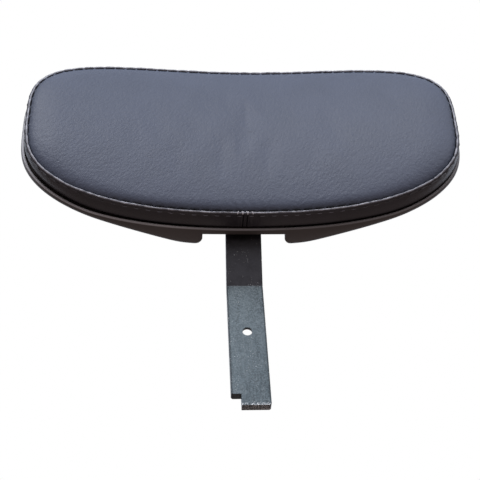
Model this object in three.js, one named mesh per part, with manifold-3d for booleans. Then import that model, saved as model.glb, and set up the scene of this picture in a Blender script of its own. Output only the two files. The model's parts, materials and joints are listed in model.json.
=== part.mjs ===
// Chair headrest attachment.
// An upholstered pad on a moulded carrier board and rear shell, hinged to a bent flat-steel stem
// that slides into the top of a chair back. The pad tilts about a friction-held pivot bolt.
//
// Units are millimetres. +Z runs up the stem's lower leg, the pad faces -Y and +X is to the right
// of someone looking at the pad. The origin is the centre of the stem's lower end face.

import * as THREE from "three";
import { mergeVertices } from "three/addons/utils/BufferGeometryUtils.js";
import Module from "manifold-3d";

const wasm = await Module();
wasm.setup();

// ---------- driving dimensions ----------

const GAP = 0.3; // clearance between pieces that touch

const STEM = {
  width: 25,
  thick: 6,
  lower: 96.5, // centre line, from the end face to the bend
  upper: 68, // centre line, from the bend to the pivot axis
  bend: THREE.MathUtils.degToRad(22.5), // the upper leg leans forward by this much
  bendRadius: 5, // to the centre line
  corner: 1.5,
  hole: { z: 57, radius: 3.3, sinkRadius: 7 }, // for the stop screw, countersunk from behind
  notch: { width: 6.4, height: 8.2 },
};

const BARREL = { radius: 7, bore: 5, half: 12.5 };
const BUSH = { radius: 4.7, bore: 3.4, sleeve: 10, flangeRadius: 7, flange: 1.2 };

const PAD = {
  tilt: THREE.MathUtils.degToRad(12), // the pad's top leans forward by this much
  wrap: 500, // radius of the vertical cylinder that the pad is bent around
  halfWidth: 151.5, // of the seam line, measured along the wrap
  halfHeight: 61.5,
  belly: 2.5, // how far the lower edge drops below that at the middle
  power: 3.3, // exponent of the rounded outline
  tuck: 3.5, // how far the wing tips' sides draw in towards the back
  segments: 60,
  pivotDepth: 24, // the pivot axis, behind the seam plane
  pivotHeight: -35.5, // the pivot axis, relative to the pad's centre
};

const COVER = { thick: 1.4, edgeRise: 7, edgeReach: 12, dome: 3.8, bulge: 2.3, hem: 6.5 };
const BOARD = { front: 7.6, back: 12.6, inset: 2.2 };
const FOAM = { inset: 1.2, back: 7.2 };

const SHELL = {
  rim: 14.8, // depth of the rim's front edge behind the seam plane
  out: 4.2, // the rim's outer edge, outside the seam line
  rimWall: 1.8,
  wall: 2.4,
  corner: 5.5,
  wingDepth: 8, // shell depth behind the rim at the wing tips
  humpDepth: 15.3, // extra depth of the two lobes beside the channel
  humpFlat: 42, // half-width over which the lobes keep their full depth
  humpReach: 120, // half-width at which the extra depth has faded out
  topFade: 0.6, // share of the extra depth lost towards the top edge
};

const CHANNEL = { half: 29, top: -4, lip: 20.2, flare: 10, flareFrom: 25, wall: 2.4, lipFlange: 13.5 };

const BRACKET = {
  front: 13,
  thick: 2.5,
  half: 24,
  bottom: -54,
  top: -9,
  earInner: 15.5,
  earThick: 2.3,
  earRadius: 8,
  earFoot: 15,
};

const BRACKET_FIX = { lowX: 9, low: -48.5, highX: 14, high: -15, hole: 2.9 };
const SHELL_FIX = { s: 95, h: 27, boss: 6.5, headBore: 4.8, seat: 18.5, hole: 2.4 };

// ---------- materials ----------

const finish = (color, roughness, metalness) => ({ color, roughness, metalness });
const LEATHER = finish(0x5c6070, 0.5, 0);
const BAND_LEATHER = finish(0x2c282b, 0.55, 0);
const FOAM_GREY = finish(0x8f8d86, 0.95, 0);
const BOARD_BLACK = finish(0x2a2724, 0.7, 0);
const SHELL_BLACK = finish(0x2b2827, 0.55, 0);
const STEM_STEEL = finish(0x5b636b, 0.45, 0.8);
const WELD_STEEL = finish(0x4a4c50, 0.6, 0.8);
const ZINC = finish(0xa8adb2, 0.35, 0.9);
const BLACK_STEEL = finish(0x2c2c2e, 0.5, 0.7);
const NYLON = finish(0xd6d2c4, 0.5, 0);

// ---------- general helpers ----------

/** A closed three.js geometry as a manifold solid. */
function toSolid(geometry) {
  const bare = geometry.clone();
  bare.deleteAttribute("normal");
  bare.deleteAttribute("uv");
  const merged = mergeVertices(bare, 1e-4);
  return new wasm.Manifold(
    new wasm.Mesh({
      numProp: 3,
      vertProperties: new Float32Array(merged.attributes.position.array),
      triVerts: new Uint32Array(merged.index.array),
    }),
  );
}

/** A manifold solid back as a three.js geometry. */
function toGeometry(solid) {
  const mesh = solid.getMesh();
  const geometry = new THREE.BufferGeometry();
  geometry.setAttribute("position", new THREE.BufferAttribute(mesh.vertProperties, 3));
  geometry.setIndex(new THREE.BufferAttribute(mesh.triVerts, 1));
  geometry.computeVertexNormals();
  return geometry;
}

/** Subtracts each tool geometry from the body geometry. */
function cut(body, ...tools) {
  const solid = tools.reduce((left, tool) => left.subtract(toSolid(tool)), toSolid(body));
  return toGeometry(solid);
}

/** One named mesh, added to a group. */
function addPart(group, name, geometry, look) {
  const mesh = new THREE.Mesh(geometry, new THREE.MeshStandardMaterial(look));
  mesh.name = name;
  group.add(mesh);
  return mesh;
}

/** A 2D shape through [x, y] points. */
function polygon(points) {
  return new THREE.Shape(points.map(([x, y]) => new THREE.Vector2(x, y)));
}

/** Extrudes a shape drawn in (y, z) along X, centred on x = middle. */
function extrudeAlongX(shape, length, middle = 0, curveSegments = 12) {
  const geometry = new THREE.ExtrudeGeometry(shape, { depth: length, bevelEnabled: false, curveSegments });
  geometry.translate(0, 0, middle - length / 2);
  const turn = new THREE.Matrix4().makeBasis(
    new THREE.Vector3(0, 1, 0),
    new THREE.Vector3(0, 0, 1),
    new THREE.Vector3(1, 0, 0),
  );
  return geometry.applyMatrix4(turn);
}

/** Extrudes a shape drawn in (x, z) along Y, from y = -length / 2 to length / 2. */
function extrudeAlongY(shape, length, curveSegments = 12) {
  const geometry = new THREE.ExtrudeGeometry(shape, { depth: length, bevelEnabled: false, curveSegments });
  geometry.translate(0, 0, -length / 2);
  return geometry.rotateX(Math.PI / 2);
}

/** Extrudes a shape drawn in (x, y) along Z, from z = low to high. */
function extrudeAlongZ(shape, low, high) {
  const geometry = new THREE.ExtrudeGeometry(shape, { depth: high - low, bevelEnabled: false });
  return geometry.translate(0, 0, low);
}

/** A box given by its limits. */
function boxBetween(x0, x1, y0, y1, z0, z1) {
  const geometry = new THREE.BoxGeometry(x1 - x0, y1 - y0, z1 - z0);
  return geometry.translate((x0 + x1) / 2, (y0 + y1) / 2, (z0 + z1) / 2);
}

/** Turns a profile of [radius, y] points, which run up the outside, about the Y axis. */
function turned(points, segments = 24) {
  return new THREE.LatheGeometry(points.map(([r, y]) => new THREE.Vector2(r, y)), segments);
}

/** A plain ring about the Y axis. */
function ring(inner, outer, y0, y1, segments = 24) {
  return turned([[inner, y0], [outer, y0], [outer, y1], [inner, y1], [inner, y0]], segments);
}

/** A plain cylinder about the Y axis, between two heights. */
function rod(radius, y0, y1, segments = 24) {
  return new THREE.CylinderGeometry(radius, radius, y1 - y0, segments).translate(0, (y0 + y1) / 2, 0);
}

/** Lays a piece turned about Y along X instead, so that its +Y becomes +X. */
function alongX(geometry) {
  return geometry.rotateZ(-Math.PI / 2);
}

/** Smooth step from 0 at low to 1 at high. */
const fade = (value, low, high) => THREE.MathUtils.smoothstep(value, low, high);

// ---------- pad outline and lofting ----------

/** A point of the seam outline at a parameter angle, in (s, h): s along the wrap, h up. */
function outlineAt(angle) {
  const c = Math.cos(angle);
  const d = Math.sin(angle);
  const s = PAD.halfWidth * Math.sign(c) * Math.abs(c) ** (2 / PAD.power);
  const drop = d < 0 ? PAD.belly * (1 - (s / PAD.halfWidth) ** 2) : 0;
  const h = (PAD.halfHeight + drop) * Math.sign(d) * Math.abs(d) ** (2 / PAD.power);
  return new THREE.Vector2(s, h);
}

/** The seam outline as evenly spaced points with outward normals. */
function makeOutline() {
  const fine = Array.from({ length: 1440 }, (_, i) => outlineAt((i / 1440) * 2 * Math.PI));
  const run = [0];
  fine.forEach((point, i) => run.push(run[i] + point.distanceTo(fine[(i + 1) % fine.length])));
  const total = run[fine.length];
  const points = [];
  let at = 0;
  for (let i = 0; i < PAD.segments; i += 1) {
    const wanted = (i / PAD.segments) * total;
    while (run[at + 1] < wanted) at += 1;
    const share = (wanted - run[at]) / (run[at + 1] - run[at]);
    points.push(fine[at].clone().lerp(fine[(at + 1) % fine.length], share));
  }
  return points.map((point, i) => {
    const before = points[(i + points.length - 1) % points.length];
    const after = points[(i + 1) % points.length];
    const along = after.clone().sub(before).normalize();
    return { point, normal: new THREE.Vector2(along.y, -along.x) };
  });
}

const OUTLINE = makeOutline();

/** Bends flat pad coordinates (along, depth, up) around the wrap cylinder, whose axis is in front. */
function wrapPoint(s, depth, h) {
  const angle = s / PAD.wrap;
  const radius = PAD.wrap + depth;
  return new THREE.Vector3(radius * Math.sin(angle), radius * Math.cos(angle) - PAD.wrap, h);
}

/** How far the side draws in at a wing tip, at a place on the outline and a depth. */
function tuckAt(s, depth) {
  const tip = fade(Math.abs(s) / PAD.halfWidth, 0.65, 1);
  return PAD.tuck * tip * THREE.MathUtils.clamp(depth / SHELL.rim, 0, 1);
}

/** One ring of a loft: the outline moved outward, then scaled, at a depth that may depend on (s, h). */
function loftRing({ out = 0, scale = 1, depth }) {
  return OUTLINE.map(({ point, normal }) => {
    const depthAt = (s, h) => (typeof depth === "function" ? depth(s, h) : depth);
    const reach = out - tuckAt(point.x, depthAt(point.x * scale, point.y * scale));
    const s = (point.x + normal.x * reach) * scale;
    const h = (point.y + normal.y * reach) * scale;
    return wrapPoint(s, depthAt(s, h), h);
  });
}

/** Rings that carry a surface of constant depth from the edge in to the middle. */
function innerRings(out, depth) {
  return [0.78, 0.52, 0.26].map((scale) => ({ out, scale, depth }));
}

/** A closed surface through rings: capped by a centre point at each end, or joined end to end. */
function loft(rings, { capped = true } = {}) {
  const loops = rings.map(loftRing);
  const size = OUTLINE.length;
  const vertices = loops.flat();
  const faces = [];
  const strips = capped ? loops.length - 1 : loops.length;
  for (let row = 0; row < strips; row += 1) {
    const next = (row + 1) % loops.length;
    for (let i = 0; i < size; i += 1) {
      const j = (i + 1) % size;
      const [a, b, c, d] = [row * size + i, row * size + j, next * size + i, next * size + j];
      faces.push(a, c, b, b, c, d);
    }
  }
  if (capped) {
    const ends = [rings[0], rings[rings.length - 1]].map(({ depth }) => {
      vertices.push(wrapPoint(0, typeof depth === "function" ? depth(0, 0) : depth, 0));
      return vertices.length - 1;
    });
    const last = (loops.length - 1) * size;
    for (let i = 0; i < size; i += 1) {
      const j = (i + 1) % size;
      faces.push(ends[0], i, j);
      faces.push(ends[1], last + j, last + i);
    }
  }
  const geometry = new THREE.BufferGeometry().setFromPoints(vertices);
  geometry.setIndex(faces);
  geometry.computeVertexNormals();
  return geometry;
}

// ---------- stem ----------

/** The stem's side view: a flat strip bent forward once, drawn in (y, z). */
function stemSideShape() {
  const half = STEM.thick / 2;
  const run = STEM.bendRadius * Math.tan(STEM.bend / 2);
  const centre = [-STEM.bendRadius, STEM.lower - run];
  const top = STEM.upper - BARREL.radius - GAP;
  const lean = [-Math.sin(STEM.bend), Math.cos(STEM.bend)];
  const end = [top * lean[0], STEM.lower + top * lean[1]];
  const shape = new THREE.Shape();
  shape.moveTo(-half, 0);
  shape.lineTo(half, 0);
  shape.absarc(centre[0], centre[1], STEM.bendRadius + half, 0, STEM.bend, false);
  shape.lineTo(end[0] + half * lean[1], end[1] - half * lean[0]);
  shape.lineTo(end[0] - half * lean[1], end[1] + half * lean[0]);
  shape.absarc(centre[0], centre[1], STEM.bendRadius - half, STEM.bend, 0, true);
  shape.closePath();
  return shape;
}

/** The stem's front view, drawn in (x, z): rounded lower corners, latch notch and stop-screw hole. */
function stemFrontShape() {
  const half = STEM.width / 2;
  const { width, height } = STEM.notch;
  const r = STEM.corner;
  const above = 200;
  const shape = new THREE.Shape();
  shape.moveTo(-half, above);
  shape.lineTo(-half, height + r);
  shape.absarc(-half + r, height + r, r, Math.PI, 1.5 * Math.PI, false);
  shape.lineTo(-half + width, height);
  shape.lineTo(-half + width, 0);
  shape.lineTo(half - r, 0);
  shape.absarc(half - r, r, r, 1.5 * Math.PI, 2 * Math.PI, false);
  shape.lineTo(half, above);
  shape.closePath();
  shape.holes.push(new THREE.Path().absarc(0, STEM.hole.z, STEM.hole.radius, 0, 2 * Math.PI, true));
  return shape;
}

/** The cone that sinks a screw head in the stem's rear face. */
function countersink() {
  const { z, radius, sinkRadius } = STEM.hole;
  const rear = STEM.thick / 2;
  const start = rear - (sinkRadius - radius);
  return turned([[0, start], [radius, start], [sinkRadius + 1, rear + 1], [0, rear + 1]]).translate(0, 0, z);
}

function addStem(root) {
  const side = extrudeAlongX(stemSideShape(), STEM.width, 0, 6);
  const front = extrudeAlongY(stemFrontShape(), 200);
  const bar = toSolid(side).intersect(toSolid(front)).subtract(toSolid(countersink()));
  addPart(root, "stem_bar", toGeometry(bar), STEM_STEEL);

  // The pieces at the stem's upper end share a group whose +Z runs up the upper leg.
  const head = new THREE.Group();
  head.position.set(0, PIVOT.y, PIVOT.z);
  head.rotation.x = STEM.bend;
  root.add(head);
  const barrel = ring(BARREL.bore, BARREL.radius, -BARREL.half, BARREL.half, 32);
  addPart(head, "pivot_barrel", alongX(barrel), STEM_STEEL);
  for (const [name, side] of [["left", -1], ["right", 1]]) {
    addPart(head, `bush_${name}`, flangedBush(side), NYLON);
  }
  for (const [name, face] of [["front", -1], ["rear", 1]]) {
    addPart(head, `weld_bead_${name}`, weldBead(face), WELD_STEEL);
  }
}

/** A flanged nylon bush at one end of the barrel: side is -1 for left and 1 for right. */
function flangedBush(side) {
  const face = BARREL.half + GAP;
  const profile = [
    [BUSH.bore, face - BUSH.sleeve],
    [BUSH.radius, face - BUSH.sleeve],
    [BUSH.radius, face],
    [BUSH.flangeRadius, face],
    [BUSH.flangeRadius, face + BUSH.flange],
    [BUSH.bore, face + BUSH.flange],
    [BUSH.bore, face - BUSH.sleeve],
  ];
  const bush = alongX(turned(profile));
  return side > 0 ? bush : bush.rotateZ(Math.PI);
}

/** The fillet weld between the strip's end and the barrel: face is -1 in front and 1 behind. */
function weldBead(face) {
  const start = STEM.thick / 2 + GAP;
  const section = [
    [start, -10.5],
    [start + 1.8, -8.8],
    [start + 3, -6.2],
    [start + 2.3, -4.8],
    [start, -6.6],
  ];
  const points = face > 0 ? section : section.map(([y, z]) => [-y, z]).reverse();
  return extrudeAlongX(polygon(points), STEM.width - 3);
}

// ---------- upholstery ----------

/** Height of the cushion's crown above the seam plane, by distance in from the seam and by scale. */
function crown(inset, scale) {
  const edge = 1 - Math.min(inset / COVER.edgeReach, 1);
  return COVER.edgeRise * (1 - edge ** 2) + COVER.dome * (1 - scale ** 2);
}

const EDGE_STEPS = [0, 1.5, 3.5, 7, 12];
const DOME_STEPS = [0.82, 0.56, 0.28];

/** Rings of a crowned surface from the middle out to the seam, set back by an extra depth. */
function crownRings(back, extraInset) {
  const dome = DOME_STEPS.map((scale) => {
    return { out: -COVER.edgeReach - extraInset, scale, depth: back - crown(COVER.edgeReach, scale) };
  });
  const edge = EDGE_STEPS.map((inset) => {
    return { out: -inset - extraInset, depth: back - crown(inset, 1) };
  });
  return [...dome.reverse(), ...edge.reverse()];
}

function addUpholstery(pad) {
  const faceFront = crownRings(0, GAP);
  const faceBack = crownRings(COVER.thick, GAP).reverse();
  addPart(pad, "cover_face", loft([...faceFront, ...faceBack]), LEATHER);

  const foamFront = crownRings(COVER.thick + GAP, FOAM.inset);
  const foamBack = [{ out: -FOAM.inset, depth: FOAM.back }, ...innerRings(-FOAM.inset, FOAM.back)];
  addPart(pad, "foam_core", loft([...foamFront, ...foamBack]), FOAM_GREY);
  addPart(pad, "cover_band", loft(bandRings(), { capped: false }), BAND_LEATHER);
}

/** The side band: from the seam, bulging round the edge, to a hem turned in behind the board. */
function bandRings() {
  const hemFront = BOARD.back + GAP;
  const hemBack = hemFront + COVER.thick;
  const middle = hemBack / 2;
  return [
    { out: 0.05, depth: -0.35 },
    { out: 1.1, depth: 0.3 },
    { out: COVER.bulge - 0.4, depth: middle - 3.6 },
    { out: COVER.bulge, depth: middle },
    { out: COVER.bulge - 0.6, depth: middle + 3.6 },
    { out: 0.7, depth: hemBack - 0.3 },
    { out: 0, depth: hemBack },
    { out: -COVER.hem, depth: hemBack },
    { out: -COVER.hem, depth: hemFront },
    { out: -1.2, depth: hemFront },
    { out: COVER.bulge - 1.9, depth: middle + 3 },
    { out: COVER.bulge - 1.4, depth: middle },
    { out: COVER.bulge - 1.8, depth: middle - 3.4 },
    { out: 0.05, depth: 1 },
  ];
}

/** The moulded carrier board, with sunk seats for the T-nuts and pilot holes for the shell screws. */
function addBoard(pad) {
  const { front, back, inset } = BOARD;
  const plate = loft([
    ...innerRings(-inset, front).reverse(),
    { out: -inset - 0.8, depth: front },
    { out: -inset, depth: front + 0.8 },
    { out: -inset, depth: back - 0.8 },
    { out: -inset - 0.8, depth: back },
    ...innerRings(-inset, back),
  ]);
  const holes = [];
  for (const [x, h] of bracketFixings()) {
    holes.push(rod(4, front - 3, back + 3, 16).translate(x, 0, h));
    holes.push(rod(8.5, front - 6, front + 1.6, 20).translate(x, 0, h));
  }
  for (const [s, h] of shellFixings()) {
    holes.push(onWrap(rod(SHELL_FIX.hole, front - 3, back + 3, 12), s, h));
  }
  addPart(pad, "carrier_board", cut(plate, ...holes), BOARD_BLACK);
}

// ---------- rear shell ----------

/** Depth of the shell's back surface behind the seam plane. */
function shellBack(s, h) {
  const run = (Math.abs(s) - SHELL.humpFlat) / (SHELL.humpReach - SHELL.humpFlat);
  const softened = (run + Math.hypot(run, 0.08)) / 2;
  const hump = Math.max(1 - softened, 0) ** 2;
  const height = 1 - SHELL.topFade * fade(h, 5, PAD.halfHeight);
  return SHELL.rim + SHELL.wingDepth + SHELL.humpDepth * hump * height;
}

/** Rings round a shell corner of the given radius, from the side wall in to the back surface. */
function cornerRings(out, radius, inward) {
  return [0, 30, 60, 90].map((degrees) => {
    const turn = THREE.MathUtils.degToRad(degrees);
    return {
      out: out - radius * (1 - Math.cos(turn)),
      depth: (s, h) => shellBack(s, h) - inward - radius * (1 - Math.sin(turn)),
    };
  });
}

/** Rings of the shell's back surface from the edge in to the middle, set in by a wall thickness. */
function backRings(out, inward) {
  return [0.88, 0.74, 0.58, 0.4, 0.2].map((scale) => {
    return { out, scale, depth: (s, h) => shellBack(s, h) - inward };
  });
}

/** The shell before the channel is cut: a dish, open to the front. */
function shellDish() {
  const inner = SHELL.out - SHELL.rimWall;
  const innerCorner = SHELL.corner - SHELL.rimWall;
  const outside = [
    ...cornerRings(SHELL.out, SHELL.corner, 0),
    ...backRings(SHELL.out - SHELL.corner, 0),
  ];
  const inside = [
    ...cornerRings(inner, innerCorner, SHELL.wall),
    ...backRings(inner - innerCorner, SHELL.wall),
  ];
  return loft([
    ...inside.reverse(),
    { out: inner, depth: SHELL.rim + 0.2 },
    { out: SHELL.out - 0.5, depth: SHELL.rim },
    { out: SHELL.out, depth: SHELL.rim + 0.5 },
    ...outside,
  ]);
}

/** A solid that ends halfway through the shell's wall, used to trim the channel walls and bosses. */
function shellCore() {
  const edge = SHELL.out - SHELL.rimWall / 2;
  const halfWall = SHELL.wall / 2;
  return loft([
    ...innerRings(edge, BRACKET.front).reverse(),
    { out: edge, depth: BRACKET.front },
    ...cornerRings(edge, SHELL.corner, halfWall),
    ...backRings(edge - SHELL.corner, halfWall),
  ]);
}

/** The channel's section in (x, y): straight walls, then a rounded flare at the back. */
function channelShape(grow, from) {
  const half = CHANNEL.half + grow;
  const radius = CHANNEL.flare - grow;
  const far = 60;
  const shape = new THREE.Shape();
  shape.moveTo(-half, from);
  shape.lineTo(half, from);
  shape.absarc(half + radius, CHANNEL.flareFrom, radius, Math.PI, Math.PI / 2, true);
  shape.lineTo(half + radius, far);
  shape.lineTo(-half - radius, far);
  shape.absarc(-half - radius, CHANNEL.flareFrom, radius, Math.PI / 2, 0, true);
  shape.closePath();
  return shape;
}

function addShell(pad) {
  const { half, top, lip, wall, lipFlange } = CHANNEL;
  const below = -PAD.halfHeight - 20;
  const flangeTop = -PAD.halfHeight - PAD.belly - SHELL.out + lipFlange;
  const core = toSolid(shellCore());
  const trimmed = (geometry) => toSolid(geometry).intersect(core);

  const walls = trimmed(extrudeAlongZ(channelShape(wall, BRACKET.front + 3.3), below, top + wall));
  const insideFloor = toSolid(boxBetween(-half, half, 0, lip, flangeTop, top));
  const insideFront = toSolid(boxBetween(-half, half, 0, lip - wall, below, flangeTop + 1));
  const flange = trimmed(boxBetween(-half - wall, half + wall, lip - wall, lip, below, flangeTop));
  const openBack = toSolid(extrudeAlongZ(channelShape(0, lip), below, top));

  let solid = toSolid(shellDish());
  solid = solid.add(walls.subtract(insideFloor).subtract(insideFront)).add(flange);
  for (const [s, h] of shellFixings()) {
    solid = solid.add(trimmed(onWrap(rod(SHELL_FIX.boss, BRACKET.front + 0.2, 40, 16), s, h)));
  }
  solid = solid.subtract(openBack);
  for (const [s, h] of shellFixings()) {
    solid = solid.subtract(toSolid(onWrap(rod(SHELL_FIX.headBore, SHELL_FIX.seat, 60, 20), s, h)));
    solid = solid.subtract(toSolid(onWrap(rod(SHELL_FIX.hole, 0, 60, 12), s, h)));
  }
  addPart(pad, "rear_shell", toGeometry(solid), SHELL_BLACK);
}

// ---------- hinge hardware ----------

/** The four bracket screws' places in the pad frame, as [x, h]. */
function bracketFixings() {
  const { lowX, low, highX, high } = BRACKET_FIX;
  return [[-highX, high], [highX, high], [-lowX, low], [lowX, low]];
}

/** The four shell screws' places, as [s, h]. */
function shellFixings() {
  const { s, h } = SHELL_FIX;
  return [[-s, h], [s, h], [-s, -h], [s, -h]];
}

/** Moves a piece turned about Y to a place on the wrapped pad, square to its surface. */
function onWrap(geometry, s, h) {
  const angle = s / PAD.wrap;
  geometry.translate(0, PAD.wrap, 0);
  geometry.rotateZ(-angle);
  return geometry.translate(0, -PAD.wrap, h);
}

/** One ear of the bracket, in (y, z): a foot on the base plate, closing to a round end at the pivot. */
function earShape() {
  const { front, thick, earRadius, earFoot } = BRACKET;
  const y0 = front + thick / 2;
  const [cy, cz] = [PAD.pivotDepth, PAD.pivotHeight];
  const reach = Math.hypot(cy - y0, earFoot);
  const toFoot = Math.atan2(earFoot, y0 - cy);
  const touch = toFoot - Math.acos(earRadius / reach);
  const shape = new THREE.Shape();
  shape.moveTo(y0, cz - earFoot);
  shape.absarc(cy, cz, earRadius, -touch, touch, false);
  shape.lineTo(y0, cz + earFoot);
  shape.closePath();
  return shape;
}

function addBracket(pad) {
  const { front, thick, half, bottom, top, earInner, earThick } = BRACKET;
  const plateShape = polygon([
    [-half, bottom + 5], [-half + 5, bottom], [half - 5, bottom], [half, bottom + 5],
    [half, top - 5], [half - 5, top], [-half + 5, top], [-half, top - 5],
  ]);
  let solid = toSolid(boxBetween(-half, half, front, front + thick, bottom, top));
  solid = solid.intersect(toSolid(extrudeAlongY(plateShape, 100)));
  for (const side of [-1, 1]) {
    solid = solid.add(toSolid(extrudeAlongX(earShape(), earThick, side * (earInner + earThick / 2))));
  }
  const bore = alongX(rod(3.4, -40, 40, 24)).translate(0, PAD.pivotDepth, PAD.pivotHeight);
  solid = solid.subtract(toSolid(bore));
  for (const [x, h] of bracketFixings()) {
    solid = solid.subtract(toSolid(rod(BRACKET_FIX.hole, 0, 40, 20).translate(x, 0, h)));
  }
  addPart(pad, "hinge_bracket", toGeometry(solid), ZINC);
}

/** T-nuts sunk in the board's front, and the machine screws that clamp the bracket to them. */
function addBracketFixings(pad) {
  const flange = BOARD.front + 0.3;
  const nut = [
    [2.9, flange], [7.8, flange], [7.8, flange + 1], [3.6, flange + 1],
    [3.6, BOARD.back - 0.6], [2.9, BOARD.back - 0.6], [2.9, flange],
  ];
  const seat = BRACKET.front + BRACKET.thick + GAP;
  const screw = [
    [0, flange - 0.1], [2.5, flange - 0.1], [2.5, seat], [4.4, seat],
    [4.4, seat + 1.6], [3.2, seat + 2.6], [0, seat + 2.6],
  ];
  bracketFixings().forEach(([x, h], i) => {
    addPart(pad, `t_nut_${i + 1}`, turned(nut, 16), ZINC).position.set(x, 0, h);
    const driven = cut(turned(screw, 16), hexRecess(seat + 1, seat + 4, 1.6));
    addPart(pad, `bracket_screw_${i + 1}`, driven, ZINC).position.set(x, 0, h);
  });
}

/** A hexagonal driver recess about the Y axis. */
function hexRecess(y0, y1, radius) {
  return rod(radius, y0, y1, 6);
}

/** Pan-head screws through the shell's sunk bosses into the board. */
function addShellScrews(pad) {
  const seat = SHELL_FIX.seat + GAP;
  const profile = [
    [0, BOARD.front + 1], [2, BOARD.front + 2.4], [2, seat], [4, seat],
    [4, seat + 1.4], [3, seat + 2.4], [0, seat + 2.4],
  ];
  shellFixings().forEach(([s, h], i) => {
    const driven = cut(turned(profile, 16), hexRecess(seat + 1, seat + 4, 1.5));
    addPart(pad, `shell_screw_${i + 1}`, onWrap(driven, s, h), BLACK_STEEL);
  });
}

/** The pivot bolt and its stack: flat washer, two friction washers, two disc springs and a lock nut. */
function addPivotStack(pad) {
  const axle = new THREE.Group();
  axle.position.set(0, PAD.pivotDepth, PAD.pivotHeight);
  pad.add(axle);
  const outer = BRACKET.earInner + BRACKET.earThick;
  const bushFace = BARREL.half + GAP + BUSH.flange;
  const washer = (y0, thick, radius) => alongX(ring(3.4, radius, y0, y0 + thick, 20));

  addPart(axle, "friction_washer_left", washer(-bushFace - GAP - 0.9, 0.9, 6.6), ZINC);
  addPart(axle, "friction_washer_right", washer(bushFace + GAP, 0.9, 6.6), ZINC);
  addPart(axle, "flat_washer", washer(outer + GAP, 1.1, 6.4), ZINC);

  let reach = outer + GAP;
  for (const number of [1, 2]) {
    const cone = [[3.4, 0], [6.2, 0.5], [6.2, 1.1], [3.4, 0.6], [3.4, 0]];
    const spring = turned(cone.map(([r, y]) => [r, y + reach]), 20);
    addPart(axle, `disc_spring_${number}`, alongX(spring).rotateZ(Math.PI), ZINC);
    reach += 0.6 + GAP;
  }
  reach += 0.5;

  const nutEnd = reach + 5;
  const nut = toSolid(rod(5.77, reach, nutEnd, 6)).intersect(toSolid(nutChamfer(reach, nutEnd)));
  const nutGeometry = toGeometry(nut.subtract(toSolid(rod(3.4, 0, 60, 24))));
  addPart(axle, "lock_nut", alongX(nutGeometry).rotateZ(Math.PI), ZINC);

  const headFace = outer + 2 * GAP + 1.1;
  const bolt = [
    [0, -nutEnd - 0.6], [2.6, -nutEnd - 0.6], [3, -nutEnd], [3, headFace],
    [5.4, headFace], [5.4, headFace + 2.6], [4.4, headFace + 3.6], [0, headFace + 3.6],
  ];
  const boltGeometry = cut(turned(bolt, 24), hexRecess(headFace + 1.6, headFace + 8, 2.3));
  addPart(axle, "pivot_bolt", alongX(boltGeometry), ZINC);
}

/** A double cone that takes the corners off the nut. */
function nutChamfer(y0, y1) {
  return turned([[0, y0], [5.2, y0], [5.8, y0 + 0.5], [5.8, y1 - 0.9], [4.8, y1], [0, y1]], 24);
}

// ---------- assembly ----------

const PIVOT = new THREE.Vector3(
  0,
  -STEM.upper * Math.sin(STEM.bend),
  STEM.lower + STEM.upper * Math.cos(STEM.bend),
);

function buildHeadrest() {
  const root = new THREE.Group();
  addStem(root);

  // The pad's frame: origin at the seam plane's centre, +Y to the back, +Z up the pad.
  const pad = new THREE.Group();
  pad.rotation.x = PAD.tilt;
  const offset = new THREE.Vector3(0, PAD.pivotDepth, PAD.pivotHeight).applyEuler(pad.rotation);
  pad.position.copy(PIVOT).sub(offset);
  root.add(pad);
  addUpholstery(pad);
  addBoard(pad);
  addShell(pad);
  addBracket(pad);
  addBracketFixings(pad);
  addShellScrews(pad);
  addPivotStack(pad);
  return root;
}

const headrest = buildHeadrest();

export default headrest;
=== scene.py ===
"""Chair headrest attachment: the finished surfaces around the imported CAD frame.

The leather face and its foam, the side band, the stitching and the rear shell are built here; the
stem and the hinge hardware are the CAD nodes with finer edges and materials.
All lengths are in metres, in the frame of the CAD model.
"""

import json
import math

import bmesh
import bpy
import numpy as np
from mathutils import Matrix, Vector
from mathutils.kdtree import KDTree


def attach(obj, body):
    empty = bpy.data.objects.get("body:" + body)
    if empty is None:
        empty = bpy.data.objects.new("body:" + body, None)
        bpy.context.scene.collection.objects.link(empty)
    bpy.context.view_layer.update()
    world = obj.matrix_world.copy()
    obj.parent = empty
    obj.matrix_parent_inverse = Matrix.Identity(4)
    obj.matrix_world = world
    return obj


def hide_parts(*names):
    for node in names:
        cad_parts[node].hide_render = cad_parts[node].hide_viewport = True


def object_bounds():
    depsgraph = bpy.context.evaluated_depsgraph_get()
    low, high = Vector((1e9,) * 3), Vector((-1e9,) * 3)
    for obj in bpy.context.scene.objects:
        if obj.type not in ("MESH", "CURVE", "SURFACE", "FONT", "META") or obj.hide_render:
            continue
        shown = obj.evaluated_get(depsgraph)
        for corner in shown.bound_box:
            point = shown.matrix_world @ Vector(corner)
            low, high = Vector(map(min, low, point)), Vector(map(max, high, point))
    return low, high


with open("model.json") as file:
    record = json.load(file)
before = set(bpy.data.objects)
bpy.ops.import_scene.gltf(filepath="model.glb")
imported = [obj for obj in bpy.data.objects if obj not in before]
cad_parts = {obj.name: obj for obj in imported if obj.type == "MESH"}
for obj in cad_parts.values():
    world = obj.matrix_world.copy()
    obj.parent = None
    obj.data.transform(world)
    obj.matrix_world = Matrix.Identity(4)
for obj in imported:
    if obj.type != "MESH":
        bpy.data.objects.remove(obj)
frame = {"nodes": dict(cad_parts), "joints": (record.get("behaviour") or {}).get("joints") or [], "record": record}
CAD_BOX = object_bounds()

MM = 0.001
RANDOM_SEED = 7

# ---------- the pad's driving dimensions, as in the CAD ----------

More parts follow.
